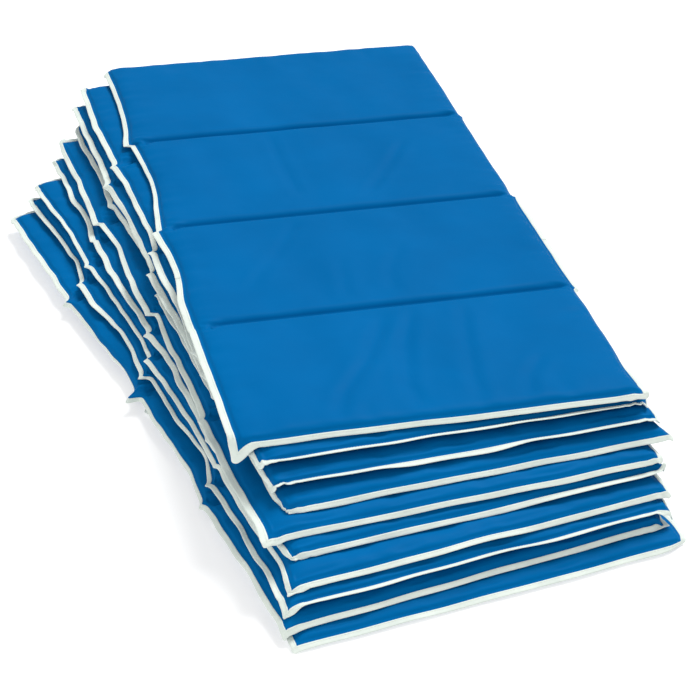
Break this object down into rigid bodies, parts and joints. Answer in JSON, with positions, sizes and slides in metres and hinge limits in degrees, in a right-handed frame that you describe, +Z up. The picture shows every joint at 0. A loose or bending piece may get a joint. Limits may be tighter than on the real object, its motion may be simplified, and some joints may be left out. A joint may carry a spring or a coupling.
{
  "type": "pile of folding rest mats",
  "caption": "Fanned pile of thin folding floor mats, each with foam panels in a vinyl cover with a bound edge; mats lift off and the top one folds in a zigzag.",
  "frame": {"origin": "on the floor, under the middle of the pile's footprint", "axes": "+Z up; +Y from the front edge of the top mat to its back edge, across its fold lines; +X to the right along its front edge"},
  "size_m": [0.8546, 1.4648, 0.1896],
  "materials": {
    "vinyl": "satin",
    "edge_tape": "matte",
    "foam": "matte"
  },
  "bodies": {
    "mat_10": {"mat_10_bottom_cover": "vinyl", "mat_10_edge_binding": "edge_tape", "mat_10_foam_pads": "foam", "mat_10_top_cover": "vinyl"},
    "mat_09": {"mat_09_bottom_cover": "vinyl", "mat_09_edge_binding": "edge_tape", "mat_09_foam_pads": "foam", "mat_09_top_cover": "vinyl"},
    "mat_08": {"mat_08_bottom_cover": "vinyl", "mat_08_edge_binding": "edge_tape", "mat_08_foam_pads": "foam", "mat_08_top_cover": "vinyl"},
    "mat_07": {"mat_07_bottom_cover": "vinyl", "mat_07_edge_binding": "edge_tape", "mat_07_foam_pads": "foam", "mat_07_top_cover": "vinyl"},
    "mat_06": {"mat_06_bottom_cover": "vinyl", "mat_06_edge_binding": "edge_tape", "mat_06_foam_pads": "foam", "mat_06_top_cover": "vinyl"},
    "mat_05": {"mat_05_bottom_cover": "vinyl", "mat_05_edge_binding": "edge_tape", "mat_05_foam_pads": "foam", "mat_05_top_cover": "vinyl"},
    "mat_04": {"mat_04_bottom_cover": "vinyl", "mat_04_edge_binding": "edge_tape", "mat_04_foam_pads": "foam", "mat_04_top_cover": "vinyl"},
    "mat_03": {"mat_03_bottom_cover": "vinyl", "mat_03_edge_binding": "edge_tape", "mat_03_foam_pads": "foam", "mat_03_top_cover": "vinyl"},
    "mat_02": {"mat_02_bottom_cover": "vinyl", "mat_02_edge_binding": "edge_tape", "mat_02_foam_pads": "foam", "mat_02_top_cover": "vinyl"},
    "mat_01_panel_1": {"mat_01_panel_1_bottom_cover": "vinyl", "mat_01_panel_1_edge_binding": "edge_tape", "mat_01_panel_1_foam_pad": "foam", "mat_01_panel_1_top_cover": "vinyl"},
    "mat_01_panel_2": {"mat_01_panel_2_bottom_cover": "vinyl", "mat_01_panel_2_edge_binding": "edge_tape", "mat_01_panel_2_foam_pad": "foam", "mat_01_panel_2_top_cover": "vinyl"},
    "mat_01_panel_3": {"mat_01_panel_3_bottom_cover": "vinyl", "mat_01_panel_3_edge_binding": "edge_tape", "mat_01_panel_3_foam_pad": "foam", "mat_01_panel_3_top_cover": "vinyl"},
    "mat_01_panel_4": {"mat_01_panel_4_bottom_cover": "vinyl", "mat_01_panel_4_edge_binding": "edge_tape", "mat_01_panel_4_foam_pad": "foam", "mat_01_panel_4_top_cover": "vinyl"}
  },
  "joints": [
    {"name": "lift_mat_09", "type": "slide", "parent": "mat_10", "child": "mat_09", "axis": [0, 0, 1], "range_m": [0, 0.15]},
    {"name": "lift_mat_08", "type": "slide", "parent": "mat_09", "child": "mat_08", "axis": [0, 0, 1], "range_m": [0, 0.15]},
    {"name": "lift_mat_07", "type": "slide", "parent": "mat_08", "child": "mat_07", "axis": [0, 0, 1], "range_m": [0, 0.15]},
    {"name": "lift_mat_06", "type": "slide", "parent": "mat_07", "child": "mat_06", "axis": [0, 0, 1], "range_m": [0, 0.15]},
    {"name": "lift_mat_05", "type": "slide", "parent": "mat_06", "child": "mat_05", "axis": [0, 0, 1], "range_m": [0, 0.15]},
    {"name": "lift_mat_04", "type": "slide", "parent": "mat_05", "child": "mat_04", "axis": [0, 0, 1], "range_m": [0, 0.15]},
    {"name": "lift_mat_03", "type": "slide", "parent": "mat_04", "child": "mat_03", "axis": [0, 0, 1], "range_m": [0, 0.15]},
    {"name": "lift_mat_02", "type": "slide", "parent": "mat_03", "child": "mat_02", "axis": [0, 0, 1], "range_m": [0, 0.15]},
    {"name": "lift_mat_01", "type": "slide", "parent": "mat_02", "child": "mat_01_panel_1", "axis": [0, 0, 1], "range_m": [0, 0.15]},
    {"name": "fold_1", "type": "hinge", "parent": "mat_01_panel_1", "child": "mat_01_panel_2", "pos_m": [0.08404, -0.18041, 0.1898], "axis": [1, 0, 0], "range_deg": [0, 180]},
    {"name": "fold_2", "type": "hinge", "parent": "mat_01_panel_2", "child": "mat_01_panel_3", "pos_m": [0.08404, 0.12159, 0.1708], "axis": [1, 0, 0], "range_deg": [-180, 0]},
    {"name": "fold_3", "type": "hinge", "parent": "mat_01_panel_3", "child": "mat_01_panel_4", "pos_m": [0.08404, 0.42359, 0.1898], "axis": [1, 0, 0], "range_deg": [0, 180]}
  ],
  "couplings": [
    {"joint": "fold_2", "follows": "fold_1", "ratio": -1},
    {"joint": "fold_3", "follows": "fold_1", "ratio": 1}
  ]
}
